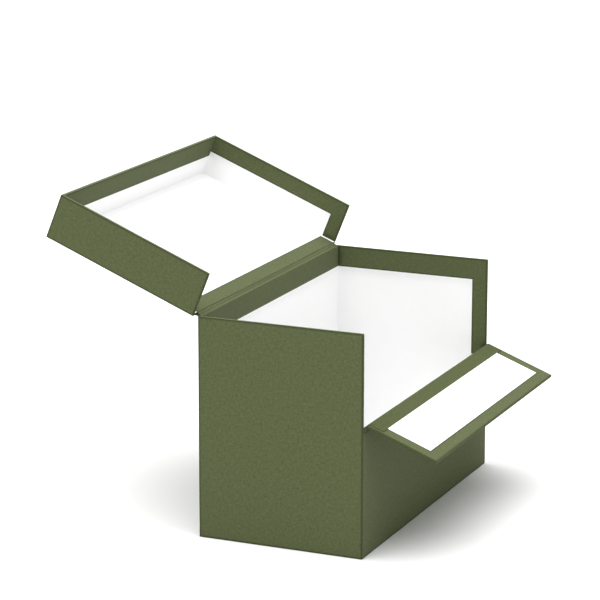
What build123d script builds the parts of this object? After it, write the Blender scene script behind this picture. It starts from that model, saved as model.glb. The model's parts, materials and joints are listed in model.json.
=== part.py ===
from build123d import *
import math
import os

# Transfer file box: a tall cloth-covered box of grey board with a low front wall.
# A drop flap is hinged on the low front wall, and a shallow lid on the back wall.
# Both hinges are gutters of bare cloth. The lid closes outside the body and holds
# the raised flap shut.
#
# Frame, in millimetres: +X to the right of someone who faces the flap, -Y out of
# the front, +Z up. The origin is the middle of the underside.

# Room inside the body
inner_length = 394.0
inner_width = 194.0
inner_height = 256.0

# Sheet materials
board = 2.5
cloth = 0.4
paper = 0.25

# Body
turn_in_rim = 27.0
turn_in_front_edge = 20.0
turn_in_base = 16.0
base_cloth_margin = 4.0
front_leaf_drop = 24.0

# Drop flap
flap_height = 88.5
flap_gutter = 5.0
flap_top_gap = 15.5
flap_side_gap = 0.6
flap_turn_in_end = 19.0
flap_turn_in_edge = 16.5
flap_leaf_reach = 19.5
flap_leaf_end_gap = 4.0
flap_open_angle = 110.7

# Lid
lid_depth = 54.5
lid_side_gap = 0.5
lid_front_gap = 0.5
lid_top_gap = 0.3
lid_back_inset = 5.0
lid_turn_in_front = 28.0
lid_turn_in_side = 22.0
lid_turn_in_back = 19.0
lid_leaf_reach = 18.0
lid_leaf_end_gap = 5.5
lid_axis_inside = 0.5
lid_axis_above = 1.25
lid_open_angle = 158.0

# Outside of the body, and its inner faces
wall_skin = cloth + board
half_length = inner_length / 2 + paper + wall_skin
half_width = inner_width / 2 + paper + wall_skin
base_board_low = 2 * cloth
floor_low = base_board_low + board
floor_top = floor_low + paper
height = floor_top + inner_height
inside_x = half_length - wall_skin
inside_y = half_width - wall_skin
clear_x = inside_x - cloth
flap_high = height - flap_top_gap
flap_low = flap_high - flap_height
front_height = flap_low - flap_gutter
edge_foot = front_height - front_leaf_drop / 2


def slab(x, y, z):
    """A plate that fills the space between a low and a high value on each axis."""
    spans = (x, y, z)
    middle = [(low + high) / 2 for low, high in spans]
    sizes = [high - low for low, high in spans]
    return Pos(*middle) * Box(*sizes)


def both_ways(half):
    """The span from -half to +half."""
    return (-half, half)


def on_side(side, low, high):
    """A span of X given for the right side, mirrored when side is -1."""
    return (low, high) if side > 0 else (-high, -low)


def joined(pieces):
    """One solid from plates that meet face to face."""
    whole = pieces[0]
    for piece in pieces[1:]:
        whole += piece
    return whole


def long_strip(profile, half):
    """A strip of cloth with this (Y, Z) profile, running along X."""
    outline = Polyline(*profile, close=True)
    return extrude(Plane.YZ * make_face(outline), amount=half, both=True)


nodes = {}

# Body boards: the walls stand on the base board, and the front and back boards
# fit between the side boards.
board_x = both_ways(half_length - cloth)
board_y = both_ways(half_width - cloth)
wall_z = (floor_low, height - cloth)
nodes["base_board"] = slab(board_x, board_y, (base_board_low, floor_low))
nodes["back_board"] = slab(both_ways(inside_x), (inside_y, half_width - cloth), wall_z)
nodes["front_board"] = slab(
    both_ways(inside_x), (cloth - half_width, -inside_y), (floor_low, front_height - cloth)
)
for side, name in ((-1, "left"), (1, "right")):
    nodes[name + "_side_board"] = slab(
        on_side(side, inside_x, half_length - cloth), board_y, wall_z
    )


def side_cover(side):
    """Cloth of one side wall: outer face, rim, free front edge and its turn-ins."""
    lining_x = on_side(side, clear_x, inside_x)
    over_edge_x = on_side(side, clear_x, half_length)
    return [
        slab(
            on_side(side, half_length - cloth, half_length),
            both_ways(half_width),
            (cloth, height),
        ),
        slab(over_edge_x, both_ways(half_width), (height - cloth, height)),
        slab(over_edge_x, (-half_width, cloth - half_width), (front_height - cloth, height)),
        slab(lining_x, (-half_width, inside_y), (height - turn_in_rim, height)),
        slab(
            lining_x,
            (-half_width, turn_in_front_edge - half_width),
            (front_height, height),
        ),
        slab(
            lining_x,
            (-inside_y, turn_in_front_edge - half_width),
            (edge_foot, front_height),
        ),
    ]


def base_turn_ins():
    """The ring of cloth that the four walls turn in under the base board."""
    ring_z = (cloth, base_board_low)
    pieces = []
    for side in (-1, 1):
        pieces.append(
            slab(
                on_side(side, half_length - turn_in_base, half_length),
                both_ways(half_width),
                ring_z,
            )
        )
    for low, high in (
        (-half_width, turn_in_base - half_width),
        (half_width - turn_in_base, half_width),
    ):
        pieces.append(slab(both_ways(half_length), (low, high), ring_z))
    return pieces


front_sheet = slab(
    both_ways(half_length), (-half_width, cloth - half_width), (cloth, front_height - cloth)
)
back_sheet = slab(
    both_ways(half_length), (half_width - cloth, half_width), (cloth, height - cloth)
)
nodes["body_cover_cloth"] = joined(
    side_cover(-1) + side_cover(1) + [front_sheet, back_sheet] + base_turn_ins()
)

# The base cloth is pasted over the turn-ins and fills the field between them.
nodes["base_cover_cloth"] = joined(
    [
        slab(
            both_ways(half_length - base_cloth_margin),
            both_ways(half_width - base_cloth_margin),
            (0, cloth),
        ),
        slab(
            both_ways(half_length - turn_in_base),
            both_ways(half_width - turn_in_base),
            (cloth, base_board_low),
        ),
    ]
)

# Inner hinge leaves on the back and front walls, over the rim and down inside
nodes["back_hinge_leaf"] = joined(
    [
        slab(both_ways(clear_x), (inside_y - cloth, half_width), (height - cloth, height)),
        slab(
            both_ways(clear_x),
            (inside_y - cloth, inside_y),
            (height - turn_in_rim, height),
        ),
    ]
)
nodes["front_hinge_leaf"] = joined(
    [
        slab(
            both_ways(clear_x),
            (-half_width, cloth - inside_y),
            (front_height - cloth, front_height),
        ),
        slab(
            both_ways(clear_x),
            (-inside_y, cloth - inside_y),
            (front_height - front_leaf_drop, front_height - cloth),
        ),
    ]
)

# White paper liners of the body: the walls' papers reach the base board, and the
# floor's paper is laid between them last.
liner_x = both_ways(inside_x - paper)
nodes["base_liner"] = slab(liner_x, both_ways(inside_y - paper), (floor_low, floor_top))
nodes["back_liner"] = slab(
    liner_x, (inside_y - paper, inside_y), (floor_low, height - turn_in_rim)
)
nodes["front_liner"] = slab(
    liner_x, (-inside_y, paper - inside_y), (floor_low, front_height - front_leaf_drop)
)
for side, name in ((-1, "left"), (1, "right")):
    liner_span = on_side(side, inside_x - paper, inside_x)
    nodes[name + "_side_liner"] = joined(
        [
            slab(
                liner_span,
                (turn_in_front_edge - half_width, inside_y),
                (floor_low, height - turn_in_rim),
            ),
            slab(liner_span, both_ways(inside_y), (floor_low, edge_foot)),
        ]
    )

# Drop flap, modelled shut between the side walls and then swung open
flap_axis_y = -half_width
flap_axis_z = front_height + flap_gutter / 2
flap_half = clear_x - flap_side_gap
flap_board_y = (cloth - half_width, -inside_y)
flap_inside_y = (-inside_y, cloth - inside_y)
flap_leaf_half = flap_half - flap_leaf_end_gap
flap_leaf_top = flap_low + flap_leaf_reach

flap_nodes = {}
flap_nodes["flap_board"] = slab(
    both_ways(flap_half - cloth), flap_board_y, (flap_low + cloth, flap_high - cloth)
)


def flap_cover():
    """Cloth over the flap: outer face, four edges, and turn-ins on the inner face."""
    full_y = (-half_width, cloth - inside_y)
    edge_y = (-half_width, -inside_y)
    pieces = [
        slab(both_ways(flap_half), (-half_width, cloth - half_width), (flap_low, flap_high)),
        slab(both_ways(flap_half), edge_y, (flap_low, flap_low + cloth)),
        slab(both_ways(flap_half), full_y, (flap_high - cloth, flap_high)),
        slab(both_ways(flap_half), flap_inside_y, (flap_high - flap_turn_in_edge, flap_high)),
    ]
    for side in (-1, 1):
        end_x = on_side(side, flap_half - cloth, flap_half)
        beside_leaf_x = on_side(side, flap_leaf_half, flap_half)
        beside_panel_x = on_side(side, flap_half - flap_turn_in_end, flap_half)
        pieces.append(slab(end_x, full_y, (flap_low, flap_high)))
        pieces.append(slab(beside_leaf_x, flap_inside_y, (flap_low, flap_high)))
        pieces.append(slab(beside_panel_x, flap_inside_y, (flap_leaf_top, flap_high)))
    return joined(pieces)


flap_nodes["flap_cover_cloth"] = flap_cover()
flap_nodes["flap_hinge_leaf"] = slab(
    both_ways(flap_leaf_half), flap_inside_y, (flap_low, flap_leaf_top)
)
flap_nodes["flap_liner"] = slab(
    both_ways(flap_half - flap_turn_in_end),
    (-inside_y, paper - inside_y),
    (flap_leaf_top, flap_high - flap_turn_in_edge),
)
flap_axis = Axis((0, flap_axis_y, flap_axis_z), (1, 0, 0))
for name, piece in flap_nodes.items():
    nodes[name] = piece.rotate(flap_axis, flap_open_angle)

# Lid, modelled shut over the body and then swung open
lid_inner_x = half_length + lid_side_gap
lid_inner_y = half_width + lid_front_gap
lid_board_x = lid_inner_x + cloth
lid_board_y = lid_inner_y + cloth
lid_outer_x = lid_board_x + board + cloth
lid_outer_y = lid_board_y + board + cloth
lid_back = half_width - lid_back_inset
lid_panel_low = height + lid_top_gap + cloth + paper
lid_liner_low = lid_panel_low - paper
lid_panel_high = lid_panel_low + board
lid_top = lid_panel_high + cloth
lid_rim = lid_top - lid_depth
lid_leaf_half = lid_inner_x - lid_leaf_end_gap
lid_wall_y = (cloth - lid_outer_y, lid_back - cloth)

lid_nodes = {}
lid_nodes["lid_panel_board"] = slab(
    both_ways(lid_outer_x - cloth), lid_wall_y, (lid_panel_low, lid_panel_high)
)
lid_nodes["lid_front_board"] = slab(
    both_ways(lid_board_x),
    (cloth - lid_outer_y, -lid_board_y),
    (lid_rim + cloth, lid_panel_low),
)
for side, name in ((-1, "left"), (1, "right")):
    lid_nodes["lid_" + name + "_board"] = slab(
        on_side(side, lid_board_x, lid_outer_x - cloth),
        lid_wall_y,
        (lid_rim + cloth, lid_panel_low),
    )


def lid_side_cover(side):
    """Cloth of one lid side wall, over its rim and its back end, and turned in."""
    over_edge_x = on_side(side, lid_inner_x, lid_outer_x)
    lining_x = on_side(side, lid_inner_x, lid_board_x)
    lining_y = (-lid_board_y, lid_back)
    return [
        slab(
            on_side(side, lid_outer_x - cloth, lid_outer_x),
            (-lid_outer_y, lid_back),
            (lid_rim, lid_top),
        ),
        slab(over_edge_x, (-lid_outer_y, lid_back), (lid_rim, lid_rim + cloth)),
        slab(over_edge_x, (lid_back - cloth, lid_back), (lid_rim, lid_liner_low)),
        slab(
            on_side(side, lid_board_x, lid_outer_x),
            (lid_back - cloth, lid_back),
            (lid_rim, lid_top),
        ),
        slab(lining_x, lining_y, (lid_rim, lid_rim + lid_turn_in_side)),
        slab(lining_x, (lid_back - lid_turn_in_back, lid_back), (lid_rim, lid_liner_low)),
    ]


lid_nodes["lid_cover_cloth"] = joined(
    [
        slab(both_ways(lid_outer_x), (-lid_outer_y, lid_back), (lid_panel_high, lid_top)),
        slab(
            both_ways(lid_outer_x),
            (-lid_outer_y, cloth - lid_outer_y),
            (lid_rim, lid_top),
        ),
        slab(
            both_ways(lid_outer_x),
            (-lid_outer_y, -lid_inner_y),
            (lid_rim, lid_rim + cloth),
        ),
        slab(
            both_ways(lid_board_x),
            (-lid_board_y, -lid_inner_y),
            (lid_rim, lid_rim + lid_turn_in_front),
        ),
        slab(
            both_ways(lid_outer_x),
            (lid_back - cloth, lid_back),
            (lid_panel_low, lid_top),
        ),
    ]
    + lid_side_cover(-1)
    + lid_side_cover(1)
)

# White paper liners of the lid
lid_nodes["lid_panel_liner"] = slab(
    both_ways(lid_board_x), (-lid_board_y, lid_back), (lid_liner_low, lid_panel_low)
)
lid_nodes["lid_front_liner"] = slab(
    both_ways(lid_board_x),
    (-lid_board_y, paper - lid_board_y),
    (lid_rim + lid_turn_in_front, lid_liner_low),
)
for side, name in ((-1, "left"), (1, "right")):
    lid_nodes["lid_" + name + "_liner"] = slab(
        on_side(side, lid_board_x - paper, lid_board_x),
        (-lid_inner_y, lid_back - lid_turn_in_back),
        (lid_rim + lid_turn_in_side, lid_liner_low),
    )
lid_nodes["lid_hinge_leaf"] = slab(
    both_ways(lid_leaf_half),
    (lid_back - lid_leaf_reach, lid_back),
    (lid_liner_low - cloth, lid_liner_low),
)
lid_axis_y = half_width - lid_axis_inside
lid_axis_z = height + lid_axis_above
lid_axis = Axis((0, lid_axis_y, lid_axis_z), (1, 0, 0))
for name, piece in lid_nodes.items():
    nodes[name] = piece.rotate(lid_axis, -lid_open_angle)


def turned(point, axis_point, degrees):
    """A (Y, Z) point turned about an axis along X."""
    c, s = math.cos(math.radians(degrees)), math.sin(math.radians(degrees))
    y, z = point[0] - axis_point[0], point[1] - axis_point[1]
    return (axis_point[0] + y * c - z * s, axis_point[1] + y * s + z * c)


def step(point, direction, length):
    """The (Y, Z) point at this length along a direction."""
    return (point[0] + direction[0] * length, point[1] + direction[1] * length)


def gutter(wall_y, wall_top, panel_edge, inward, off_edge, panel_thick):
    """Profiles of the two cloths of a gutter, the cover's and the inner leaf's.

    Both leave the wall's rim at wall_y and reach the swung panel's edge. The inner
    one then climbs that edge to the leaf on the panel's inner face.
    """
    seam = step(panel_edge, inward, cloth)
    outer = [(wall_y, wall_top - 2 * cloth), (wall_y, wall_top - cloth), seam, panel_edge]
    leaf_corner = step(panel_edge, inward, panel_thick)
    inner = [
        (wall_y, wall_top - cloth),
        seam,
        leaf_corner,
        step(leaf_corner, off_edge, cloth),
        step(step(panel_edge, inward, 2 * cloth), off_edge, cloth),
        (wall_y, wall_top),
    ]
    return outer, inner


# Gutter of the lid, in the open pose
lid_pivot = (lid_axis_y, lid_axis_z)
lid_edge = turned((lid_back, lid_top), lid_pivot, -lid_open_angle)
lid_inward = turned((0, -1), (0, 0), -lid_open_angle)
lid_off_edge = turned((1, 0), (0, 0), -lid_open_angle)
lid_outer_profile, lid_inner_profile = gutter(
    half_width, height, lid_edge, lid_inward, lid_off_edge, lid_top - lid_liner_low + cloth
)
nodes["lid_gutter_cloth"] = long_strip(lid_outer_profile, half_length)
nodes["lid_gutter_lining"] = long_strip(lid_inner_profile, lid_leaf_half)

# Gutter of the flap, in the open pose
flap_pivot = (flap_axis_y, flap_axis_z)
flap_edge = turned((-half_width, flap_low), flap_pivot, flap_open_angle)
flap_inward = turned((1, 0), (0, 0), flap_open_angle)
flap_off_edge = turned((0, -1), (0, 0), flap_open_angle)
flap_outer_profile, flap_inner_profile = gutter(
    -half_width, front_height, flap_edge, flap_inward, flap_off_edge, wall_skin + cloth
)
nodes["flap_gutter_cloth"] = long_strip(flap_outer_profile, flap_half)
nodes["flap_gutter_lining"] = long_strip(flap_inner_profile, flap_leaf_half)

os.makedirs("parts", exist_ok=True)
for name, piece in nodes.items():
    export_step(piece, os.path.join("parts", name + ".step"))
print(len(nodes), "nodes")
print("body outside:", 2 * half_length, "x", 2 * half_width, "x", height)
print("lid axis: y", lid_axis_y, "z", lid_axis_z)
print("flap axis: y", flap_axis_y, "z", flap_axis_z)
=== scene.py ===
# %% [markdown]
# # A transfer file box in bookcloth and paper
#
# The real object is a case-maker's box: plates of grey board, covered with olive
# bookcloth and lined with white paper. Its lid and its drop flap hang on gutters of
# bare cloth. The boards come from the frame and stay inside. What the eye meets is
# cloth and paper, so every sheet of it is made here, at its real thickness.

import json
import math

import bmesh
import bpy
import numpy as np
from mathutils import Matrix, Vector


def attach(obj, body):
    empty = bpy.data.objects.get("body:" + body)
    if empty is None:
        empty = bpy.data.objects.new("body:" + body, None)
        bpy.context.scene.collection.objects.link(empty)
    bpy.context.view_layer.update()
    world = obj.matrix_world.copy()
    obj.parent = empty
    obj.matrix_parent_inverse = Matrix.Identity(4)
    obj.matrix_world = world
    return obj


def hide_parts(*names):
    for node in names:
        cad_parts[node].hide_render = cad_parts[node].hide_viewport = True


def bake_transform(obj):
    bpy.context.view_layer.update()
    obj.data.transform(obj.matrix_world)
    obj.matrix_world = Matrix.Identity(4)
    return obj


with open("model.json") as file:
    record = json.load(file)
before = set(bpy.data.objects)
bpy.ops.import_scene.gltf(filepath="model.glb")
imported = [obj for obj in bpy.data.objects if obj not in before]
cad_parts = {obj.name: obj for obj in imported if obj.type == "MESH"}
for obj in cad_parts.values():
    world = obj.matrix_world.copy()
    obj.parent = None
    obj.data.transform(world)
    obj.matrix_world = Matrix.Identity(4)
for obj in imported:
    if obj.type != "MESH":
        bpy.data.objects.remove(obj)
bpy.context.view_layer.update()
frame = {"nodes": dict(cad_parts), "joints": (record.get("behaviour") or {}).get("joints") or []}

MM = 0.001


def in_mm(values):
    """Lengths in millimetres, for printing."""
    return [round(value / MM, 2) for value in values]


# %% [markdown]
# ## Camera
#
# The photograph was taken a little above the rim, looking at the left side with the
# open front to the right. A long lens keeps the upright edges almost parallel. The
# camera is aimed at a point inside the box and backs away along its line of sight.

# %% Camera
SENSOR = 36.0 * MM
view_azimuth = math.radians(-66.41)
view_elevation = math.radians(13.78)
view_roll = math.radians(0.07)
view_target = Vector((0, 62.82, 237.22)) * MM
view_distance = 3322.3 * MM
view_lens = 168.9 * MM
view_end = 100.0


def add_camera():
    """Creates the camera on its line of sight and makes it the scene's camera."""
    flat = math.cos(view_elevation)
    back = Vector((math.sin(view_azimuth) * flat, -math.cos(view_azimuth) * flat, math.sin(view_elevation)))
    right = Vector((math.cos(view_azimuth), math.sin(view_azimuth), 0))
    up = back.cross(right)
    turn = Matrix((right, up, back)).transposed().to_4x4()
    roll = Matrix.Rotation(view_roll, 4, "Z")
    camera = bpy.data.objects.new("Camera", bpy.data.cameras.new("Camera"))
    bpy.context.scene.collection.objects.link(camera)
    camera.matrix_world = Matrix.Translation(view_target + back * view_distance) @ turn @ roll
    camera.data.sensor_width = SENSOR / MM
    camera.data.lens = view_lens / MM
    camera.data.clip_end = view_end
    bpy.context.scene.camera = camera
    return camera


camera = add_camera()
print("camera at", [round(c, 3) for c in camera.location])

# %% [markdown]
# ## Sizes come from the frame
#
# The lid and the flap are open at rest, so their plates lie at a slant. It is easier
# to read sizes, and to cut cloth, while both are shut, because everything is then
# square. A joint's lower limit is its shut pose. One matrix per body swings a point
# from rest to shut, and its inverse swings a finished piece back.

# %% Shut and rest
def shut_matrix(joint):
    """Matrix that turns a moving body from rest to its shut pose."""
    pivot = Matrix.Translation(joint["pos_m"])
    turn = Matrix.Rotation(math.radians(joint["range_deg"][0]), 4, Vector(joint["axis"]))
    return pivot @ turn @ pivot.inverted()


to_shut = {"body": Matrix.Identity(4)}
for joint in frame["joints"]:
    to_shut[joint["child"]] = shut_matrix(joint)


def shut_points(body, node):
    """A node's corner points in the shut pose."""
    return [to_shut[body] @ vertex.co for vertex in frame["nodes"][node].data.vertices]


def shut_box(body, node):
    """Lowest and highest corner of a node in the shut pose."""
    points = np.array(shut_points(body, node))
    return Vector(points.min(0)), Vector(points.max(0))


# %% Sizes of the body
SMALL = 0.01 * MM
body_low, body_high = shut_box("body", "body_cover_cloth")
half_length, half_width, height = body_high
cloth = body_low.z
board = shut_box("body", "base_board")[1].z - 2 * cloth
wall = cloth + board + cloth
inside_x = half_length - cloth - board
inside_y = half_width - cloth - board
floor_low = 2 * cloth + board
paper = shut_box("body", "base_liner")[1].z - floor_low
front_height = shut_box("body", "front_hinge_leaf")[1].z
rim_line = shut_box("body", "back_hinge_leaf")[0].z
front_leaf_line = shut_box("body", "front_hinge_leaf")[0].z
side_paper = shut_points("body", "left_side_liner")
edge_line = min(p.y for p in side_paper if p.z > rim_line - SMALL)
edge_foot = max(p.z for p in side_paper if p.y < edge_line - SMALL)
base_field = [p for p in shut_points("body", "base_cover_cloth") if p.z > cloth + SMALL]
base_field_x = max(p.x for p in base_field)
base_field_y = max(p.y for p in base_field)
base_cloth_high = shut_box("body", "base_cover_cloth")[1]
print("body", in_mm((half_length, half_width, height)), "board", in_mm([board]))

# %% Sizes of the flap and the lid, shut
flap_low, flap_high = shut_box("flap", "flap_cover_cloth")
flap_half = flap_high.x
flap_leaf_half, _, flap_leaf_line = shut_box("flap", "flap_hinge_leaf")[1]
flap_paper_high = shut_box("flap", "flap_liner")[1]

lid_low, lid_high = shut_box("lid", "lid_cover_cloth")
lid_panel_low = shut_box("lid", "lid_panel_board")[0].z
lid_leaf_low, lid_leaf_high = shut_box("lid", "lid_hinge_leaf")
lid_front_line = shut_box("lid", "lid_front_liner")[0].z
lid_side_line = shut_box("lid", "lid_right_liner")[0].z
lid_end_line = shut_box("lid", "lid_right_liner")[1].y
print("flap", in_mm(flap_high), "lid", in_mm(lid_high))

# %% [markdown]
# ## Finishes
#
# Bookcloth is a plain weave, dyed and backed so that glue can't come through. From a
# step away the threads melt into a fine uneven grain, because some are thicker than
# others. Along the folds over a board's edge and beside the cut edges, the colour is
# painted darker, as shade with some wear and glue soak, and on the level rims it is
# painted paler, as a highlight of the light from above. A pattern on Object
# coordinates would cut across the folds, so the cloth reads a UV map of its own, in
# metres, that follows each face.

# %% Helpers that add nodes
def add_node(tree, kind, inputs=(), **settings):
    """Adds a node, sets its properties, then links or sets its inputs."""
    node = tree.nodes.new(kind)
    for name, value in settings.items():
        setattr(node, name, value)
    for name, value in dict(inputs).items():
        socket = node.inputs[name]
        if isinstance(value, bpy.types.NodeSocket):
            tree.links.new(value, socket)
        else:
            socket.default_value = value
    return node


def math_node(tree, operation, *values):
    """The result of a Math node on one to three values or sockets."""
    return add_node(tree, "ShaderNodeMath", enumerate(values), operation=operation).outputs[0]


def noise(tree, vector, size, detail=2.0, roughness=0.5):
    """Noise with features of about this size, in metres."""
    settings = {"Vector": vector, "Scale": 1 / size, "Detail": detail, "Roughness": roughness}
    return add_node(tree, "ShaderNodeTexNoise", settings)


def stretched(tree, vector, size_u, size_v):
    """The vector divided by a size along each thread direction."""
    sizes = {"Vector": vector, "Scale": (1 / size_u, 1 / size_v, 1)}
    return add_node(tree, "ShaderNodeMapping", sizes).outputs[0]


def mixed_colour(tree, factor, first, second, mode="MIX"):
    """A colour between two others."""
    node = add_node(tree, "ShaderNodeMix", data_type="RGBA", blend_type=mode)
    for index, value in ((0, factor), (6, first), (7, second)):
        if isinstance(value, bpy.types.NodeSocket):
            tree.links.new(value, node.inputs[index])
        else:
            node.inputs[index].default_value = value
    return node.outputs[2]


def new_material(name):
    """A material with its node tree and its Principled shader."""
    material = bpy.data.materials.new(name)
    material.use_nodes = True
    return material, material.node_tree, material.node_tree.nodes["Principled BSDF"]


# %% [markdown]
# The weave is the product of two sine waves, one along each thread direction: it
# rises where a thread comes to the face and falls where it dives. Two stretched
# noises make slubs, long in one direction and a thread wide in the other, and a
# rounder noise makes the mottled grain that the photograph shows. Each noise is
# centred on its mean, so a contrast can change without changing the even shade,
# which lies halfway between the light and the dark one.

# %% Bookcloth
thread_pitch = 0.55 * MM
thread_wander = 0.12 * MM
wander_size = 8.0 * MM
slub_length = 7.0 * MM
slub_width = 0.9 * MM
mottle_size = 3.0 * MM
cloth_relief = 0.12 * MM
even_shade = 0.5
slub_contrast = 0.8
mottle_contrast = 1.4
thread_contrast = 0.10
thread_relief = 0.25
# Painted shade, with some wear and glue soak, along folds and cut edges: how fast it fades and how dark it
# gets.
wear_and_shade_falloff = 1.2
wear_and_shade_colour = (0.38, 0.42, 0.30, 1)
# Painted highlight on the level rims, where the light from above falls.
rim_highlight_strength = 0.7
rim_highlight_colour = (0.20, 0.22, 0.14, 1)


def bookcloth(name, light, dark):
    """Woven cloth in two shades, painted shade and wear along folds and cut edges, painted highlight on
    rims.
    """
    material, tree, shader = new_material(name)
    weave = add_node(tree, "ShaderNodeUVMap", uv_map="weave").outputs[0]

    wander = noise(tree, weave, wander_size).outputs["Color"]
    centred = add_node(tree, "ShaderNodeVectorMath", {0: wander, 1: (0.5, 0.5, 0.5)}, operation="SUBTRACT")
    drift = {0: centred.outputs[0], 1: (thread_wander, thread_wander, 0), 2: weave}
    moved = add_node(tree, "ShaderNodeVectorMath", drift, operation="MULTIPLY_ADD")
    along = add_node(tree, "ShaderNodeSeparateXYZ", {0: moved.outputs[0]})
    turns = 2 * math.pi / thread_pitch
    warp = math_node(tree, "SINE", math_node(tree, "MULTIPLY", along.outputs[0], turns))
    weft = math_node(tree, "SINE", math_node(tree, "MULTIPLY", along.outputs[1], turns))
    threads = math_node(tree, "MULTIPLY", warp, weft)

    warp_slubs = noise(tree, stretched(tree, weave, slub_length, slub_width), 1.0).outputs[0]
    weft_slubs = noise(tree, stretched(tree, weave, slub_width, slub_length), 1.0).outputs[0]
    slubs = math_node(tree, "ADD", warp_slubs, weft_slubs)
    mottle = noise(tree, weave, mottle_size, detail=3.0, roughness=0.6).outputs[0]

    shade = math_node(tree, "MULTIPLY_ADD", slubs, slub_contrast, -slub_contrast)
    shade = math_node(tree, "MULTIPLY_ADD", mottle, mottle_contrast, shade)
    shade = math_node(tree, "ADD", shade, even_shade - mottle_contrast / 2)
    shade = math_node(tree, "MULTIPLY_ADD", threads, thread_contrast, shade)
    colour = mixed_colour(tree, shade, (*dark, 1), (*light, 1))

    # Painted shade, with some wear and glue soak: darker along the folds and beside the cut edges.
    fold = add_node(tree, "ShaderNodeAttribute", attribute_name="fold").outputs["Fac"]
    soak_and_shade = add_node(tree, "ShaderNodeAttribute", attribute_name="soak_and_shade").outputs["Fac"]
    wear_and_edge_shade = math_node(tree, "POWER", math_node(tree, "MAXIMUM", fold, soak_and_shade), wear_and_shade_falloff)
    colour = mixed_colour(tree, wear_and_edge_shade, colour, wear_and_shade_colour, mode="MULTIPLY")
    # Painted highlight: paler on the level rims.
    rim_highlight = add_node(tree, "ShaderNodeAttribute", attribute_name="rim_highlight").outputs["Fac"]
    rim_highlight_amount = math_node(tree, "MULTIPLY", math_node(tree, "MULTIPLY", rim_highlight, mottle), rim_highlight_strength)
    colour = mixed_colour(tree, rim_highlight_amount, colour, rim_highlight_colour)

    relief = math_node(tree, "MULTIPLY_ADD", threads, thread_relief, slubs)
    bump = add_node(tree, "ShaderNodeBump", {"Height": relief, "Strength": 0.6, "Distance": cloth_relief})
    tree.links.new(colour, shader.inputs["Base Color"])
    tree.links.new(bump.outputs[0], shader.inputs["Normal"])
    shader.inputs["Roughness"].default_value = 0.85
    shader.inputs["Specular IOR Level"].default_value = 0.12
    shader.inputs["Sheen Weight"].default_value = 0.04
    shader.inputs["Sheen Roughness"].default_value = 0.5
    return material


cover_finish = bookcloth("olive bookcloth", light=(0.102, 0.118, 0.054), dark=(0.062, 0.075, 0.030))
hinge_finish = bookcloth("olive hinge cloth", light=(0.079, 0.094, 0.036), dark=(0.046, 0.057, 0.019))

# %% [markdown]
# Liner paper is smooth and white, with short fibres that only a raking light shows.
# Grey board is felted from waste paper, so it is speckled. The boards are covered
# all over, but they get their own finish too, because the parts can be taken apart.

# %% Paper and board
CLOUD_FIBRES = 20


def fibrous(name, light, dark, fibre, relief, roughness):
    """Felted paper or board, speckled between two shades, with clouds some fibres wide."""
    material, tree, shader = new_material(name)
    place = add_node(tree, "ShaderNodeTexCoord").outputs["Object"]
    cloud = noise(tree, place, CLOUD_FIBRES * fibre, detail=3.0).outputs[0]
    fibres = noise(tree, place, fibre, detail=4.0, roughness=0.7).outputs[0]
    mix = math_node(tree, "MULTIPLY", math_node(tree, "ADD", cloud, fibres), 0.5)
    bump = add_node(tree, "ShaderNodeBump", {"Height": fibres, "Strength": 0.4, "Distance": relief})
    tree.links.new(mixed_colour(tree, mix, (*dark, 1), (*light, 1)), shader.inputs["Base Color"])
    tree.links.new(bump.outputs[0], shader.inputs["Normal"])
    shader.inputs["Roughness"].default_value = roughness
    shader.inputs["Specular IOR Level"].default_value = 0.3
    return material


paper_finish = fibrous(
    "white liner paper", light=(0.90, 0.90, 0.90), dark=(0.85, 0.85, 0.85),
    fibre=0.8 * MM, relief=0.02 * MM, roughness=0.7,
)
board_finish = fibrous(
    "grey board", light=(0.36, 0.35, 0.32), dark=(0.22, 0.21, 0.19),
    fibre=1.2 * MM, relief=0.06 * MM, roughness=0.9,
)

for node in frame["nodes"].values():
    if node.name.endswith("_board"):
        node.data.materials.clear()
        node.data.materials.append(board_finish)
print("finishes:", [m.name for m in bpy.data.materials])

# %% [markdown]
# ## One tree that glues every sheet
#
# Eighteen sheets of cloth and paper cover the box, and the same things happen to
# each. It lies up on whatever is already glued below it, it ripples a little as the
# glue dries, it is marked beside its cut edges for a painted shade with some glue
# soak, and it has a thickness. A Geometry Nodes tree does all of that to any surface,
# so each sheet only has to be cut to shape.
# The surface given to it is the face that shows, and the thickness goes behind.

# %% Build the tree
WELD = 0.002 * MM
CRISP_ANGLE = math.radians(50)


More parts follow.
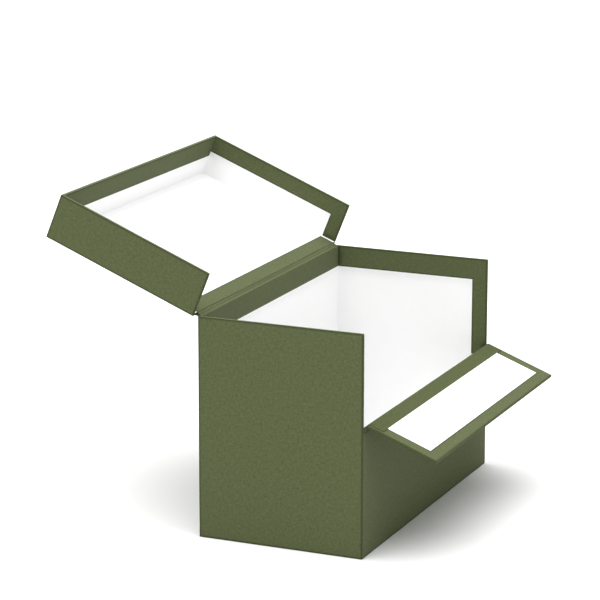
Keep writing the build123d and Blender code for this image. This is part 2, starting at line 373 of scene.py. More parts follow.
def glued_sheet_tree():
    """Geometry Nodes tree: raise, ripple, mark edge shade, thicken, close and finish a sheet."""
    tree = bpy.data.node_groups.new("Glued sheet", "GeometryNodeTree")
    new_socket = tree.interface.new_socket
    new_socket(name="Geometry", in_out="OUTPUT", socket_type="NodeSocketGeometry")
    new_socket(name="Geometry", in_out="INPUT", socket_type="NodeSocketGeometry")
    for name in ("Thickness", "Lift", "Ripple", "Ripple Size", "Soak And Shade Start", "Soak And Shade Width", "Seed"):
        new_socket(name=name, in_out="INPUT", socket_type="NodeSocketFloat")
    new_socket(name="Finish", in_out="INPUT", socket_type="NodeSocketMaterial")
    given = add_node(tree, "NodeGroupInput").outputs

    lift = add_node(tree, "GeometryNodeInputNamedAttribute", {"Name": "lift"}, data_type="FLOAT")
    raised = math_node(tree, "MULTIPLY", lift.outputs[0], given["Lift"])
    place = add_node(tree, "GeometryNodeInputPosition").outputs[0]
    scale = math_node(tree, "DIVIDE", 1.0, given["Ripple Size"])
    ripples = {"Vector": place, "W": given["Seed"], "Scale": scale, "Detail": 1.0}
    waves = add_node(tree, "ShaderNodeTexNoise", ripples, noise_dimensions="4D")
    out = math_node(tree, "MULTIPLY_ADD", waves.outputs[0], given["Ripple"], raised)
    normal = add_node(tree, "GeometryNodeInputNormal").outputs[0]
    offset = add_node(tree, "ShaderNodeVectorMath", {0: normal, "Scale": out}, operation="SCALE")
    face = add_node(
        tree, "GeometryNodeSetPosition", {"Geometry": given["Geometry"], "Offset": offset.outputs[0]}
    ).outputs[0]

    # Marks the cloth beside its cut edges, for the finish's painted shade and glue soak there.
    beside = add_node(tree, "GeometryNodeInputMeshEdgeNeighbors").outputs[0]
    is_cut = add_node(tree, "FunctionNodeCompare", {2: beside, 3: 1}, data_type="INT", operation="EQUAL")
    cut_edges = {"Geometry": face, "Selection": is_cut.outputs[0]}
    cut = add_node(tree, "GeometryNodeSeparateGeometry", cut_edges, domain="EDGE")
    near = add_node(tree, "GeometryNodeProximity", {"Geometry": cut.outputs[0]}, target_element="EDGES")
    past = math_node(tree, "SUBTRACT", near.outputs["Distance"], given["Soak And Shade Start"])
    share = math_node(tree, "MAXIMUM", math_node(tree, "DIVIDE", past, given["Soak And Shade Width"]), 0.0)
    soak_and_shade = add_node(tree, "ShaderNodeMath", {0: 1.0, 1: share}, operation="SUBTRACT", use_clamp=True)
    soak_and_shade_values = {"Geometry": face, "Name": "soak_and_shade", "Value": soak_and_shade.outputs[0]}
    store = add_node(tree, "GeometryNodeStoreNamedAttribute", soak_and_shade_values, data_type="FLOAT", domain="POINT")
    face = store.outputs[0]

    inward = math_node(tree, "MULTIPLY", given["Thickness"], -1.0)
    behind = add_node(
        tree, "GeometryNodeExtrudeMesh", {"Mesh": face, "Offset Scale": inward, "Individual": False}
    )
    behind = add_node(tree, "GeometryNodeFlipFaces", {"Mesh": behind.outputs[0]}).outputs[0]
    joined = add_node(tree, "GeometryNodeJoinGeometry")
    tree.links.new(face, joined.inputs[0])
    tree.links.new(behind, joined.inputs[0])
    closed = add_node(
        tree, "GeometryNodeMergeByDistance", {"Geometry": joined.outputs[0], "Distance": WELD}
    )

    all_faces = {"Geometry": closed.outputs[0], "Shade Smooth": True}
    smooth = add_node(tree, "GeometryNodeSetShadeSmooth", all_faces, domain="FACE")
    angle = add_node(tree, "GeometryNodeInputMeshEdgeAngle").outputs[0]
    is_sharp = add_node(
        tree, "FunctionNodeCompare", {0: angle, 1: CRISP_ANGLE}, operation="GREATER_THAN"
    )
    sharp = {"Geometry": smooth.outputs[0], "Selection": is_sharp.outputs[0], "Shade Smooth": False}
    crisp = add_node(tree, "GeometryNodeSetShadeSmooth", sharp, domain="EDGE")
    real = add_node(tree, "GeometryNodeRealizeInstances", {"Geometry": crisp.outputs[0]})
    done = add_node(
        tree, "GeometryNodeSetMaterial", {"Geometry": real.outputs[0], "Material": given["Finish"]}
    )
    add_node(tree, "NodeGroupOutput", {0: done.outputs[0]})
    return tree


glued_sheet = glued_sheet_tree()
socket_id = {s.name: s.identifier for s in glued_sheet.interface.items_tree if s.in_out == "INPUT"}
print("tree inputs:", list(socket_id))

# %% Run the tree on a surface
RIPPLE = 0.15 * MM
RIPPLE_SIZE = 50 * MM
RIPPLE_SEED = 7.0
LAP = 1.0 * MM
# How far from a cut edge the painted shade and glue soak reach, on covers and on strips.
SOAK_AND_SHADE_REACH = 3.2 * MM
STRIP_SOAK_AND_SHADE_REACH = 1.8 * MM


def baked(obj):
    """Replaces an object's mesh by what its modifiers make of it."""
    evaluated = obj.evaluated_get(bpy.context.evaluated_depsgraph_get())
    mesh = bpy.data.meshes.new_from_object(evaluated)
    obj.modifiers.clear()
    obj.data = mesh
    mesh.name = obj.name


def glue(obj, thickness, finish, lift=0.0, soak_and_shade=(LAP, SOAK_AND_SHADE_REACH), ripple=RIPPLE):
    """Runs the glued-sheet tree on an object and keeps the result as a plain mesh."""
    modifier = obj.modifiers.new("Glued sheet", "NODES")
    modifier.node_group = glued_sheet
    values = {
        "Thickness": thickness,
        "Lift": lift,
        "Ripple": ripple,
        "Ripple Size": RIPPLE_SIZE,
        "Soak And Shade Start": soak_and_shade[0],
        "Soak And Shade Width": soak_and_shade[1] - soak_and_shade[0],
        "Seed": RIPPLE_SEED,
        "Finish": finish,
    }
    for name, value in values.items():
        modifier[socket_id[name]] = value
    baked(obj)
    print(obj.name, len(obj.data.polygons), "faces")


def fitted(obj, body, slot, *nodes):
    """Swings a piece from shut to rest, and hands it to its body."""
    obj.data.transform(to_shut[body].inverted())
    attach(obj, body)
    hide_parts(*nodes)


def new_object(name, mesh):
    """Links a mesh to the scene as an object."""
    obj = bpy.data.objects.new(name, mesh)
    bpy.context.scene.collection.objects.link(obj)
    return obj


# %% [markdown]
# ## Covers: cloth folded over board
#
# A cover follows the outside of the boards, goes over their edges and is turned in
# on the other side. A box of plates has only square faces, so the surface is read
# from a lattice: cells inside a plate are full, and a face lies wherever a full
# cell meets an empty one. Planes can be added where the cloth is cut. This gives
# clean quads, whatever number of plates meets at a corner.

# %% Faces of a union of plates
MESH_STEP = 10 * MM
LINE_DECIMALS = 7


def lattice_lines(values, spacing):
    """Sorted coordinates, with more between them so that none are further apart."""
    known = sorted({round(v, LINE_DECIMALS) for v in values})
    lines = []
    for low, high in zip(known, known[1:]):
        parts = max(1, math.ceil((high - low) / spacing - SMALL))
        lines += [low + (high - low) * i / parts for i in range(parts)]
    return lines + [known[-1]]


def plate_faces(plates, planes, covered):
    """A bmesh with the covered faces of a union of plates.

    plates are (low, high) corners, planes holds extra cuts along X, Y and Z, and
    covered(middle, normal) says whether cloth lies there.
    """
    lines = [
        lattice_lines([c[axis] for plate in plates for c in plate] + list(planes[axis]), MESH_STEP)
        for axis in range(3)
    ]
    middles = [np.array([(a + b) / 2 for a, b in zip(line, line[1:])]) for line in lines]
    grid = np.meshgrid(*middles, indexing="ij")
    full = np.zeros([len(m) + 2 for m in middles], bool)
    for low, high in plates:
        inside = [(grid[axis] > low[axis]) & (grid[axis] < high[axis]) for axis in range(3)]
        full[1:-1, 1:-1, 1:-1] |= inside[0] & inside[1] & inside[2]
    mesh = bmesh.new()
    corners = {}

    def corner(index):
        if index not in corners:
            corners[index] = mesh.verts.new([lines[axis][index[axis]] for axis in range(3)])
        return corners[index]

    for axis in range(3):
        u, v = (axis + 1) % 3, (axis + 2) % 3
        for side in (-1, 1):
            beyond = np.roll(full, -side, axis)
            for cell in np.argwhere(full & ~beyond) - 1:
                start = list(cell)
                start[axis] += side > 0
                ring = []
                for du, dv in ((0, 0), (1, 0), (1, 1), (0, 1)):
                    index = list(start)
                    index[u] += du
                    index[v] += dv
                    ring.append(tuple(int(i) for i in index))
                points = [Vector(lines[a][i[a]] for a in range(3)) for i in ring]
                normal = Vector([side if a == axis else 0 for a in range(3)])
                if covered(sum(points, Vector()) / 4, normal):
                    mesh.faces.new([corner(i) for i in (ring if side > 0 else ring[::-1])])
    return mesh


# %% [markdown]
# Cloth over a board's edge makes a small radius, about a millimetre outside. A Bevel
# modifier with edge weights rounds the folds, and the board's corners a little more,
# since those get knocked first. The folds are also remembered as an attribute that
# fades within three millimetres, for the finish to darken there as painted shade with
# some wear. The level rims between two folds catch the light from above, so they get
# an attribute of their own, for a painted highlight.

# %% Round the folds, and mark them
FOLD_RADIUS = 0.9 * MM
CORNER_RADIUS = 1.3 * MM
FOLD_REACH = 3.0 * MM
FOLD_ANGLE = math.radians(45)
PLACE_DECIMALS = 5


def fold_lines(points, folds):
    """Distance of every point to each whole fold line, by the line's axis and place."""
    lines = {}
    for start, end in folds:
        start, run = np.array(start), np.array(end) - np.array(start)
        t = np.clip((points - start) @ run / (run @ run), 0, 1)
        gaps = np.linalg.norm(points - start - t[:, None] * run, axis=1)
        axis = int(np.abs(run).argmax())
        line = (axis, *np.round(np.delete(start, axis), PLACE_DECIMALS))
        lines[line] = np.minimum(lines.get(line, gaps), gaps)
    return lines


def mark_folds(mesh, folds, highlighted_along):
    """Stores two attributes: fold is 1 on a fold, for the painted shade and wear there,
    and the other is 1 on a rim, for a painted highlight.

    A rim is the narrow face between two folds that run side by side, a wall apart.
    The rims along the axes in the last argument get the painted highlight.
    """
    lines = fold_lines(np.array([v.co for v in mesh.vertices]), folds)
    fold = np.clip(1 - np.min(list(lines.values()), axis=0) / FOLD_REACH, 0, 1)
    # Rims lit from above get a painted highlight.
    rim_highlight = np.zeros(len(fold))
    for level in highlighted_along:
        pair = np.sort([gaps for line, gaps in lines.items() if line[0] == level], axis=0)[:2]
        rim_highlight = np.maximum(rim_highlight, np.clip((wall - pair[-1]) / FOLD_RADIUS, 0, 1))
    for name, values in (("fold", fold * (1 - rim_highlight)), ("rim_highlight", rim_highlight)):
        attribute = mesh.attributes.new(name, "FLOAT", "POINT")
        attribute.data.foreach_set("value", values.astype(np.float32))


def map_weave(mesh):
    """A UV map in metres, along the two directions of each face's own plane."""
    layer = mesh.uv_layers.new(name="weave")
    for face in mesh.polygons:
        flat = max(range(3), key=lambda axis: abs(face.normal[axis]))
        first, second = [axis for axis in range(3) if axis != flat]
        for corner in face.loop_indices:
            place = mesh.vertices[mesh.loops[corner].vertex_index].co
            layer.uv[corner].vector = (place[first], place[second])


def folded_cover(name, plates, planes, covered, is_corner, highlighted_along=(0, 1)):
    """A cover in the shut pose: its shown face, with rounded and marked folds."""
    skin = plate_faces(plates, planes, covered)
    skin.normal_update()
    weights = skin.edges.layers.float.new("bevel_weight_edge")
    folds = []
    for edge in skin.edges:
        if len(edge.link_faces) == 2 and edge.calc_face_angle() > FOLD_ANGLE:
            start, end = (v.co.copy() for v in edge.verts)
            knocked = is_corner((start + end) / 2, (end - start).normalized())
            edge[weights] = 1.0 if knocked else FOLD_RADIUS / CORNER_RADIUS
            if edge.is_convex:
                folds.append((start, end))
    mesh = bpy.data.meshes.new(name)
    skin.to_mesh(mesh)
    skin.free()
    obj = new_object(name, mesh)
    bevel = obj.modifiers.new("Bevel", "BEVEL")
    bevel.limit_method = "WEIGHT"
    bevel.width = CORNER_RADIUS
    bevel.segments = 3
    baked(obj)
    mark_folds(obj.data, folds, highlighted_along)
    map_weave(obj.data)
    glue(obj, cloth, cover_finish)
    return obj


# %% [markdown]
# ### Body cover
#
# Four walls in one wrap, with the cloth over the rims of the side walls and round
# their free front edges. Inside, it ends in turn-ins, and below it is turned in
# under the base. The rims of the front and back walls are left to the hinge cloths.

# %% Body cover
middle_line = wall / 2
PARALLEL_COSINE = 0.9


def cut_planes(cut, direction):
    """Planes at a cut edge, at the paper that laps it, and where the painted shade and glue soak fade out.
    """
    return [cut, cut + direction * LAP, cut + direction * SOAK_AND_SHADE_REACH]


def fold_planes(fold, direction):
    """Planes in the middle of a rim beside a fold, and where the fold's mark fades out."""
    return [fold + direction * middle_line, fold + direction * FOLD_REACH]


def both_sides(*values):
    """The values and their mirror images."""
    return [sign * v for v in values for sign in (-1, 1)]


def body_is_covered(middle, normal):
    """True where cloth lies on the walls of the body."""
    x, y, z = abs(middle.x), middle.y, middle.z
    if normal.z > 0:
        return z > front_height + SMALL and x > half_length - wall
    if normal.z < 0:
        return z < cloth + SMALL and (x > base_field_x or abs(y) > base_field_y)
    if abs(normal.x) > 0:
        turned_in = z > rim_line or (y < edge_line and z > edge_foot)
        return x > half_length - SMALL or (x > half_length - wall - SMALL and turned_in)
    if y > half_width - SMALL:
        return x > half_length - wall or z < height - middle_line
    if y < SMALL - half_width:
        return x > half_length - wall or z < front_height - middle_line
    return False


def body_corner(middle, direction):
    """True at the top of a side wall's free front edge."""
    return abs(direction.x) > PARALLEL_COSINE and middle.y < 0 and middle.z > height - SMALL


def wall_plates():
    """The covered walls and base of the body as plates."""
    x, y = half_length, half_width
    return [
        ((-x, -y, cloth), (wall - x, y, height)),
        ((x - wall, -y, cloth), (x, y, height)),
        ((-x, y - wall, cloth), (x, y, height)),
        ((-x, -y, cloth), (x, wall - y, front_height)),
        ((-x, -y, cloth), (x, y, floor_low)),
    ]


body_planes = (
    both_sides(*fold_planes(half_length, -1), base_field_x),
    both_sides(*fold_planes(half_width, -1), base_field_y) + cut_planes(edge_line, -1),
    fold_planes(height, -1) + fold_planes(cloth, 1) + cut_planes(edge_foot, 1)
    + cut_planes(rim_line, 1) + [front_height - middle_line, front_height + middle_line],
)
body_cover = folded_cover("body_cover", wall_plates(), body_planes, body_is_covered, body_corner)
fitted(body_cover, "body", "cover_cloth", "body_cover_cloth")

# %% [markdown]
# ### Lid and flap covers
#
# The lid is a tray with three walls. Its cloth is turned in lower on the sides than
# at the front, and it also wraps the free ends of the side walls. The flap is one
# board, with the cloth turned in on three edges of its inner face. Shut, it is
# tucked in under the lid, and its rims get no painted highlight.

# %% Lid cover
lid_wall_x = lid_high.x - wall
lid_wall_y = lid_low.y + wall
lid_paper_low = lid_panel_low - paper


def lid_is_covered(middle, normal):
    """True where cloth lies on the lid."""
    x, y, z = abs(middle.x), middle.y, middle.z
    if normal.z != 0:
        return z > lid_high.z - SMALL or z < lid_low.z + SMALL
    if abs(normal.x) > 0:
        turned_in = z < lid_side_line or y > lid_end_line
        return x > lid_high.x - SMALL or turned_in
    if normal.y > 0:
        return y > lid_high.y - SMALL or z < lid_front_line
    return True


def lid_corner(middle, direction):
    """True at the free corner of a side wall, beside the hinge."""
    at_corner = middle.y > lid_high.y - SMALL and middle.z < lid_low.z + SMALL
    return at_corner and abs(direction.x) > PARALLEL_COSINE


lid_plates = [
    ((-lid_high.x, lid_low.y, lid_paper_low), lid_high),
    ((-lid_high.x, lid_low.y, lid_low.z), (lid_high.x, lid_wall_y, lid_high.z)),
    ((-lid_high.x, lid_low.y, lid_low.z), (-lid_wall_x, lid_high.y, lid_high.z)),
    ((lid_wall_x, lid_low.y, lid_low.z), lid_high),
]
lid_planes = (
    both_sides(*fold_planes(lid_high.x, -1)),
    fold_planes(lid_low.y, 1) + fold_planes(lid_high.y, -1) + cut_planes(lid_end_line, 1),
    fold_planes(lid_low.z, 1) + fold_planes(lid_high.z, -1)
    + cut_planes(lid_side_line, -1) + cut_planes(lid_front_line, -1),
)
lid_cover = folded_cover("lid_cover", lid_plates, lid_planes, lid_is_covered, lid_corner)
fitted(lid_cover, "lid", "cover_cloth", "lid_cover_cloth")

# %% Flap cover
flap_end_line = flap_paper_high.x
flap_edge_line = flap_paper_high.z


def flap_is_covered(middle, normal):
    """True where cloth lies on the flap."""
    if normal.y > 0:
        return abs(middle.x) > flap_end_line or middle.z > flap_edge_line
    return True


def flap_corner(middle, direction):
    """True at the four corners of the flap's board."""
    return abs(direction.y) > PARALLEL_COSINE


flap_planes = (
    both_sides(*fold_planes(flap_half, -1), *cut_planes(flap_end_line, 1)),
    [flap_low.y + middle_line],
    fold_planes(flap_low.z, 1) + fold_planes(flap_high.z, -1) + cut_planes(flap_edge_line, 1),
)
flap_cover = folded_cover(
    "flap_cover", [(flap_low, flap_high)], flap_planes, flap_is_covered, flap_corner, highlighted_along=()
)
fitted(flap_cover, "flap", "cover_cloth", "flap_cover_cloth")

# %% [markdown]
# ## Papers
#
# Each face inside is lined with white paper, cut a little long so that it laps over
# the raw edges of the turn-ins. There it climbs by the thickness of the cloth, which
# shows as a faint step beside every paper's edge. The climb is stored on the cut
# sheet as an attribute named lift, and the tree raises the sheet by it.

# %% A flat sheet on one face of a board
CLIMB = 0.8 * MM


def nearness(point, areas):
    """1 inside one of the areas, falling to 0 at CLIMB from it."""
    gaps = [
        math.hypot(*(max(low - p, p - high, 0) for p, (low, high) in zip(point, area)))
        for area in areas
    ]
    return max([0.0] + [1 - gap / CLIMB for gap in gaps])


def flat_sheet(name, axis, at, facing, cuts, layers):
    """A sheet in a plane across an axis, facing the open side.

    cuts are the areas that the sheet fills, and each layer in layers is a list of
    areas that lie below it. An area is two (low, high) spans, in the order of the
    two other axes.
    """
    across = [i for i in range(3) if i != axis]
    lines = []
    for side in range(2):
        ends = [v for area in cuts for v in area[side]]
        values = set(ends)
        for area in [a for layer in layers for a in layer]:
            low, high = area[side]
            values |= {low - CLIMB, low, high, high + CLIMB}
        values = [v for v in values if min(ends) <= v <= max(ends)]
        lines.append(lattice_lines(values, MESH_STEP))
    sheet = bmesh.new()
    lift = sheet.verts.layers.float.new("lift")
    corners = {}

    def corner(i, j):
        if (i, j) not in corners:
            place = [at, at, at]
            place[across[0]], place[across[1]] = lines[0][i], lines[1][j]
            corners[i, j] = sheet.verts.new(place)
            point = (lines[0][i], lines[1][j])
            corners[i, j][lift] = sum(nearness(point, layer) for layer in layers)
        return corners[i, j]

    for i, (a, b) in enumerate(zip(lines[0], lines[0][1:])):
        for j, (c, d) in enumerate(zip(lines[1], lines[1][1:])):
            middle = ((a + b) / 2, (c + d) / 2)
            if any(all(lo < m < hi for m, (lo, hi) in zip(middle, area)) for area in cuts):
                sheet.faces.new([corner(i, j), corner(i + 1, j), corner(i + 1, j + 1), corner(i, j + 1)])
    sheet.normal_update()
    sheet.faces.ensure_lookup_table()
    if sheet.faces[0].normal[axis] * facing < 0:
        bmesh.ops.reverse_faces(sheet, faces=sheet.faces[:])
    mesh = bpy.data.meshes.new(name)
    sheet.to_mesh(mesh)
    sheet.free()
    map_weave(mesh)
    return new_object(name, mesh)


def line_with_paper(name, body, node, axis, at, facing, cuts, layers=()):
    """Cuts a liner paper for a board's face, glues it and hands it to its body."""
    obj = flat_sheet(name, axis, at + facing * paper, facing, cuts, layers)
    glue(obj, paper, paper_finish, lift=cloth)
    fitted(obj, body, "liner_paper", node)


# Beyond every edge of the box.
FAR = 1.0
paper_x = (paper - inside_x, inside_x - paper)
paper_y = (paper - inside_y, inside_y - paper)

# %% Papers of the body
line_with_paper("floor_paper", "body", "base_liner", 2, floor_low, 1, [(paper_x, paper_y)])
line_with_paper(
    "back_paper", "body", "back_liner", 1, inside_y, -1,
    [(paper_x, (floor_low, rim_line + LAP))],
    [[((-FAR, FAR), (rim_line, FAR))]],
)
line_with_paper(
    "front_paper", "body", "front_liner", 1, -inside_y, 1,
    [(paper_x, (floor_low, front_leaf_line + LAP))],
    [[((-FAR, FAR), (front_leaf_line, FAR))]],
)
for name, side in (("left", -1), ("right", 1)):
    line_with_paper(
        name + "_side_paper", "body", name + "_side_liner", 0, side * inside_x, -side,
        [
            ((edge_line - LAP, inside_y), (floor_low, rim_line + LAP)),
            ((-inside_y, edge_line), (floor_low, edge_foot + LAP)),
        ],
        [[((-FAR, FAR), (rim_line, FAR)), ((-FAR, edge_line), (edge_foot, FAR))]],
    )

# %% Papers of the lid and the flap
lid_board_x = lid_wall_x + cloth
lid_board_y = lid_wall_y - cloth
line_with_paper(
    "lid_panel_paper", "lid", "lid_panel_liner", 2, lid_panel_low, -1,
    [((-lid_board_x, lid_board_x), (lid_board_y, lid_high.y))],
)
line_with_paper(
    "lid_front_paper", "lid", "lid_front_liner", 1, lid_board_y, 1,
    [((paper - lid_board_x, lid_board_x - paper), (lid_front_line - LAP, lid_paper_low))],
    [[((-FAR, FAR), (-FAR, lid_front_line))]],
)
for name, side in (("left", -1), ("right", 1)):
    line_with_paper(
        "lid_" + name + "_paper", "lid", "lid_" + name + "_liner", 0, side * lid_board_x, -side,
        [((lid_board_y + paper, lid_end_line + LAP), (lid_side_line - LAP, lid_paper_low))],
        [[((-FAR, FAR), (-FAR, lid_side_line)), ((lid_end_line, FAR), (-FAR, FAR))]],
    )
flap_turn_ins = [
    ((flap_end_line, FAR), (-FAR, FAR)),
    ((-FAR, -flap_end_line), (-FAR, FAR)),
    ((-FAR, FAR), (flap_edge_line, FAR)),
]
line_with_paper(
    "flap_paper", "flap", "flap_liner", 1, -inside_y, 1,
    [((-flap_end_line - LAP, flap_end_line + LAP), (flap_leaf_line - LAP, flap_edge_line + LAP))],
    [flap_turn_ins, [((-FAR, FAR), (-FAR, flap_leaf_line))]],
)

# %% [markdown]
# The underside gets a sheet of cloth over the ring of turn-ins. It is the same kind
# of sheet as the papers: it lies up on the ring and sinks to the board inside it.

# %% Cloth under the base
ring = [
    ((base_field_x, FAR), (-FAR, FAR)),
    ((-FAR, -base_field_x), (-FAR, FAR)),
    ((-FAR, FAR), (base_field_y, FAR)),
    ((-FAR, FAR), (-FAR, -base_field_y)),
]
base_span = [(-v, v) for v in base_cloth_high[:2]]
base_cover = flat_sheet("base_cover", 2, cloth, -1, [base_span], [ring])
glue(base_cover, cloth, cover_finish, lift=cloth, ripple=0.0)
fitted(base_cover, "body", "cover_cloth", "base_cover_cloth")

# %% [markdown]
# ## Hinge cloths
#
# Each hinge is a gutter: a gap between wall and board, bridged by two cloths. The
# outer one belongs to the cover. The inner one is a strip that starts on the inside
# of the wall, goes over its rim, stands up in a small ridge where the gutter bends,
# dips beside the board's edge and ends on the board's inner face. Its section is a
# path of straight runs and arcs, and the strip carries that path along the hinge.
# The lid's strip was smoothed down over the open gutter, so its crease shows near
# the two ends and is pulled flat between them.

# %% Path of a strip
ARC_STEP = math.radians(18)


def arc_at(before, corner, after, radius):
    """Points of the arc that rounds one corner of a (Y, Z) path."""
    arriving = (corner - before).normalized()
    leaving = (after - corner).normalized()
    turn = math.atan2(arriving.cross(leaving), arriving.dot(leaving))
    start = corner - arriving * radius * math.tan(abs(turn) / 2)
    spoke = Vector((arriving.y, -arriving.x)) * math.copysign(radius, turn)
    steps = max(2, math.ceil(abs(turn) / ARC_STEP))
    return [
        start - spoke + Matrix.Rotation(turn * step / steps, 2) @ spoke for step in range(steps + 1)
    ]


def rounded_path(points, radii):
    """A (Y, Z) path whose inner corners are arcs of these radii."""
    points = [Vector(p) for p in points]
    path = points[:1]
    for before, corner, after, radius in zip(points, points[1:], points[2:], radii):
        path += arc_at(before, corner, after, radius)
    return path + points[-1:]


def path_length(path):
    """Length of a (Y, Z) path."""
    return sum((b - a).length for a, b in zip(path, path[1:]))


def spaced_path(path, spacing=6 * MM):
    """Points along the path, also on its long runs and where the painted shade fades near each end."""
    marks = [0.0]
    for start, end in zip(path, path[1:]):
        marks.append(marks[-1] + (end - start).length)
    places = lattice_lines(marks + [STRIP_SOAK_AND_SHADE_REACH, marks[-1] - STRIP_SOAK_AND_SHADE_REACH], spacing)
    y = np.interp(places, marks, [p.x for p in path])
    z = np.interp(places, marks, [p.y for p in path])
    return list(zip(y, z)), places


# %% Strip along the hinge
def hinge_strip(name, path, half_at, side, lift_at=None, stops=()):
    """A strip of hinge cloth with this section, centred on X.

    half_at(share) is half its width at a share of the path's length. side is 1 where
    the shown face is towards -Y on a run that climbs. lift_at(x, place) says how far
    the strip is raised at a place on the path, and stops are more columns along X.
    """
    points, places = spaced_path(path)
    widest = max(half_at(place / places[-1]) for place in places)
    columns = lattice_lines(both_sides(widest, widest - STRIP_SOAK_AND_SHADE_REACH, *stops), MESH_STEP)
    strip = bmesh.new()
    lift = strip.verts.layers.float.new("lift")
    weave = strip.loops.layers.uv.new("weave")
    rows = []
    for (y, z), place in zip(points, places):
        squeeze = half_at(place / places[-1]) / widest
        rows.append([strip.verts.new((x * squeeze, y, z)) for x in columns])
        if lift_at:
            for vertex in rows[-1]:
                vertex[lift] = lift_at(abs(vertex.co.x), place)
    for i in range(len(rows) - 1):
        for j in range(len(columns) - 1):
            ring = [(i, j), (i, j + 1), (i + 1, j + 1), (i + 1, j)][::side]
            face = strip.faces.new([rows[a][b] for a, b in ring])
            for loop, (a, b) in zip(face.loops, ring):
                loop[weave].uv = (columns[b], places[a])
    mesh = bpy.data.meshes.new(name)
    strip.to_mesh(mesh)
    strip.free()
    return new_object(name, mesh)


# %% [markdown]
# The strips are made at rest, because they cross from one body to another. There is
# some slack, since the gutter is longer when the box is shut, and it shows as the
# ridge.

# %% Where the gutters are at rest
def at_rest(body, y, z):
    """A (Y, Z) point of a body's shut pose, at rest."""
    point = to_shut[body].inverted() @ Vector((0, y, z))
    return Vector(point[1:])


def towards(body, start, end):
    """Unit (Y, Z) direction between two points of a body's shut pose, at rest."""
    return (at_rest(body, *end) - at_rest(body, *start)).normalized()


lid_corner_out = at_rest("lid", lid_high.y, lid_high.z)
lid_inward = towards("lid", (0, 1), (0, 0))
lid_onward = towards("lid", (1, 0), (0, 0))
flap_corner_out = at_rest("flap", flap_low.y, flap_low.z)
flap_inward = towards("flap", (0, 0), (1, 0))
flap_onward = towards("flap", (0, 0), (0, 1))
print("lid gutter", in_mm(lid_corner_out), "flap gutter", in_mm(flap_corner_out))

# %% Lid hinge, inner strip
RIDGE = 1.0 * MM
CREASE = 0.8 * MM
TIGHT = 0.5 * MM
SHARP = TIGHT / 3
# How far the lid's leaf reaches along its board, and how far the lid's outer face lies above the leaf.
leaf_reach = lid_leaf_high.y - lid_leaf_low.y
edge_rise = lid_high.z - lid_leaf_low.z
wall_top = Vector((half_width, height))
leaf_corner = lid_corner_out + lid_inward * edge_rise - lid_onward * cloth
valley = leaf_corner - lid_inward * CREASE
lid_ridge = (wall_top + valley) / 2 + Vector((-RIDGE, RIDGE)) / 2
lid_lining_path = rounded_path(
    [
        (half_width - wall, rim_line),
        (half_width - wall, height),
        wall_top - Vector((TIGHT, 0)),
        lid_ridge,
        valley,
        leaf_corner,
        leaf_corner + lid_onward * (leaf_reach + cloth),
    ],
    [FOLD_RADIUS, FOLD_RADIUS, FOLD_RADIUS, SHARP, TIGHT],
)
lid_lining_length = path_length(lid_lining_path)
lid_neck = (height - rim_line + wall) / lid_lining_length
lid_shoulder = 1 - (leaf_reach + cloth) / lid_lining_length


def narrowed(share, neck, shoulder, narrow, power=1):
    """Half the width of an inner strip, from the inside of the box to narrow on the board."""
    t = min(1, max(0, (share - neck) / (shoulder - neck)))
    return half_length - wall + (narrow - half_length + wall) * t ** power


def lid_lining_half(share):
    """Half the width of the lid's inner strip, which narrows evenly across the gutter."""
    return narrowed(share, lid_neck, lid_shoulder, lid_leaf_high.x)


valley_place = lid_shoulder * lid_lining_length - CREASE
valley_reach = (valley - lid_ridge).length


def lid_lining_lift(x, place):
    """Pulls the crease flat in the middle of the hinge, and leaves it at the ends."""
    near_valley = max(0, 1 - abs(place - valley_place) / valley_reach)
    return near_valley * math.cos(x / half_length * math.pi / 2) ** 2


lid_lining = hinge_strip("lid_hinge_lining", lid_lining_path, lid_lining_half, 1, lift_at=lid_lining_lift)
glue(lid_lining, cloth, cover_finish, lift=CREASE, soak_and_shade=(0, STRIP_SOAK_AND_SHADE_REACH))
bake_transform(lid_lining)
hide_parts("back_hinge_leaf", "lid_gutter_lining", "lid_hinge_leaf")

# %% Lid hinge, outer strip
PROUD = 0.05 * MM
OUTER_LAP = 3.0 * MM
lid_outer_path = rounded_path(
    [
        (half_width + PROUD, height - middle_line - OUTER_LAP),
        (half_width + PROUD, height - cloth),
        (wall_top + lid_corner_out) / 2 + Vector((0, cloth)),
        lid_corner_out - lid_inward * PROUD,
        lid_corner_out - lid_inward * PROUD + lid_onward * OUTER_LAP,
    ],
    [TIGHT, FOLD_RADIUS, FOLD_RADIUS],
)
lid_outer = hinge_strip("lid_hinge_cloth", lid_outer_path, lambda share: half_length - TIGHT, -1)
glue(lid_outer, cloth, cover_finish, soak_and_shade=(0, STRIP_SOAK_AND_SHADE_REACH))
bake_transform(lid_outer)
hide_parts("lid_gutter_cloth")

# %% Flap hinge, inner strip
FLAP_RIDGE = 0.9 * MM
front_top = Vector((-half_width, front_height))
flap_valley = flap_corner_out + flap_inward * cloth - flap_onward * cloth
flap_leaf_corner = flap_corner_out + flap_inward * wall - flap_onward * cloth
flap_bulge = (flap_inward - flap_onward).normalized()
flap_ridge = (front_top + flap_valley) / 2 + flap_bulge * FLAP_RIDGE
flap_leaf_reach = flap_leaf_line - flap_low.z
flap_lining_path = rounded_path(
    [
        (wall - half_width, front_leaf_line),
        (wall - half_width, front_height),
        front_top,
        flap_ridge,
        flap_valley,
        flap_leaf_corner,
        flap_leaf_corner + flap_onward * (flap_leaf_reach + cloth),
    ],
    [FOLD_RADIUS, TIGHT, TIGHT, TIGHT, FOLD_RADIUS],
)
flap_lining_length = path_length(flap_lining_path)
flap_neck = (front_height - front_leaf_line + wall) / flap_lining_length
flap_shoulder = 1 - (flap_leaf_reach + cloth) / flap_lining_length
LATE_TAPER = 4


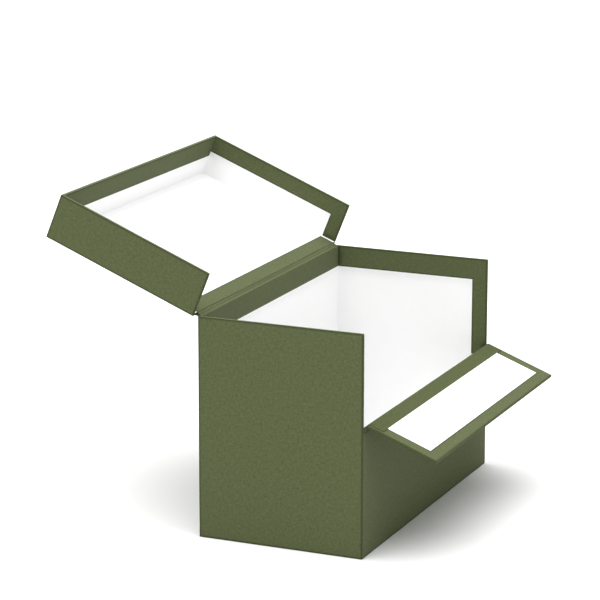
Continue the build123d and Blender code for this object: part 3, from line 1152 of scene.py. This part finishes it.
def flap_lining_half(share):
    """Half the width of the flap's inner strip, which narrows only near the flap's edge."""
    return narrowed(share, flap_neck, flap_shoulder, flap_leaf_half, LATE_TAPER)


def flap_lining_lift(x, place):
    """Raises the strip where it lies on the turn-ins at the flap's two ends."""
    on_leaf = min(1, max(0, (place - flap_shoulder * flap_lining_length) / CLIMB))
    return on_leaf * min(1, max(0, (x - flap_end_line) / CLIMB))


flap_lining = hinge_strip(
    "flap_hinge_lining", flap_lining_path, flap_lining_half, -1,
    lift_at=flap_lining_lift, stops=(flap_end_line, flap_end_line + CLIMB),
)
glue(flap_lining, cloth, hinge_finish, lift=cloth, soak_and_shade=(0, STRIP_SOAK_AND_SHADE_REACH))
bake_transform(flap_lining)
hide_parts("front_hinge_leaf", "flap_gutter_lining", "flap_hinge_leaf")

# %% Flap hinge, outer strip
flap_outer_path = rounded_path(
    [
        (-half_width - PROUD, front_height - middle_line - OUTER_LAP),
        (-half_width - PROUD, front_height - cloth),
        flap_ridge - flap_bulge * 2 * cloth,
        flap_corner_out - flap_inward * PROUD,
        flap_corner_out - flap_inward * PROUD + flap_onward * OUTER_LAP,
    ],
    [TIGHT, TIGHT, TIGHT],
)
flap_outer = hinge_strip("flap_hinge_cloth", flap_outer_path, lambda share: flap_half, 1)
glue(flap_outer, cloth, cover_finish, soak_and_shade=(0, STRIP_SOAK_AND_SHADE_REACH))
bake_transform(flap_outer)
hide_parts("flap_gutter_cloth")

# %% [markdown]
# ## Floor and light
#
# The photograph is a studio picture on white. A very wide light overhead, a little
# to the left and behind, makes the open lid's strip and the flap the brightest
# cloth. The left side follows. A weaker light in front lifts the half shade there.
# The pale floor and the white papers bounce so much light that the inside is almost
# evenly bright.

# %% Floor
FLOOR_HALF = 20.0


def add_floor():
    """A wide pale floor, part of the studio and not of the box."""
    signs = ((-1, -1), (1, -1), (1, 1), (-1, 1))
    corners = [(x * FLOOR_HALF, y * FLOOR_HALF, 0) for x, y in signs]
    mesh = bpy.data.meshes.new("floor")
    mesh.from_pydata(corners, [], [(0, 1, 2, 3)])
    floor = new_object("floor", mesh)
    floor.data.materials.append(
        fibrous(
            "pale studio floor", light=(0.86, 0.86, 0.86), dark=(0.84, 0.84, 0.84),
            fibre=3 * MM, relief=0.01 * MM, roughness=0.9,
        )
    )


add_floor()

# %% Light
SKY = 0.52
# Each sun: the direction that it comes from, its strength, and its spread in degrees.
SUNS = {
    "overhead": ((-0.07, 0.10, 1.0), 4.5, 80),
    "front fill": ((-0.25, -0.90, 0.35), 0.55, 60),
}


def add_light():
    """An even white sky and the wide soft suns."""
    world = bpy.data.worlds.new("studio")
    bpy.context.scene.world = world
    world.use_nodes = True
    sky = world.node_tree.nodes["Background"]
    sky.inputs["Color"].default_value = (1, 1, 1, 1)
    sky.inputs["Strength"].default_value = SKY
    for name, (direction, strength, spread) in SUNS.items():
        sun = bpy.data.lights.new(name, "SUN")
        sun.energy = strength
        sun.angle = math.radians(spread)
        obj = bpy.data.objects.new(name, sun)
        obj.rotation_euler = Vector(direction).to_track_quat("Z", "Y").to_euler()
        bpy.context.scene.collection.objects.link(obj)


add_light()
bpy.context.scene.view_settings.view_transform = "Standard"
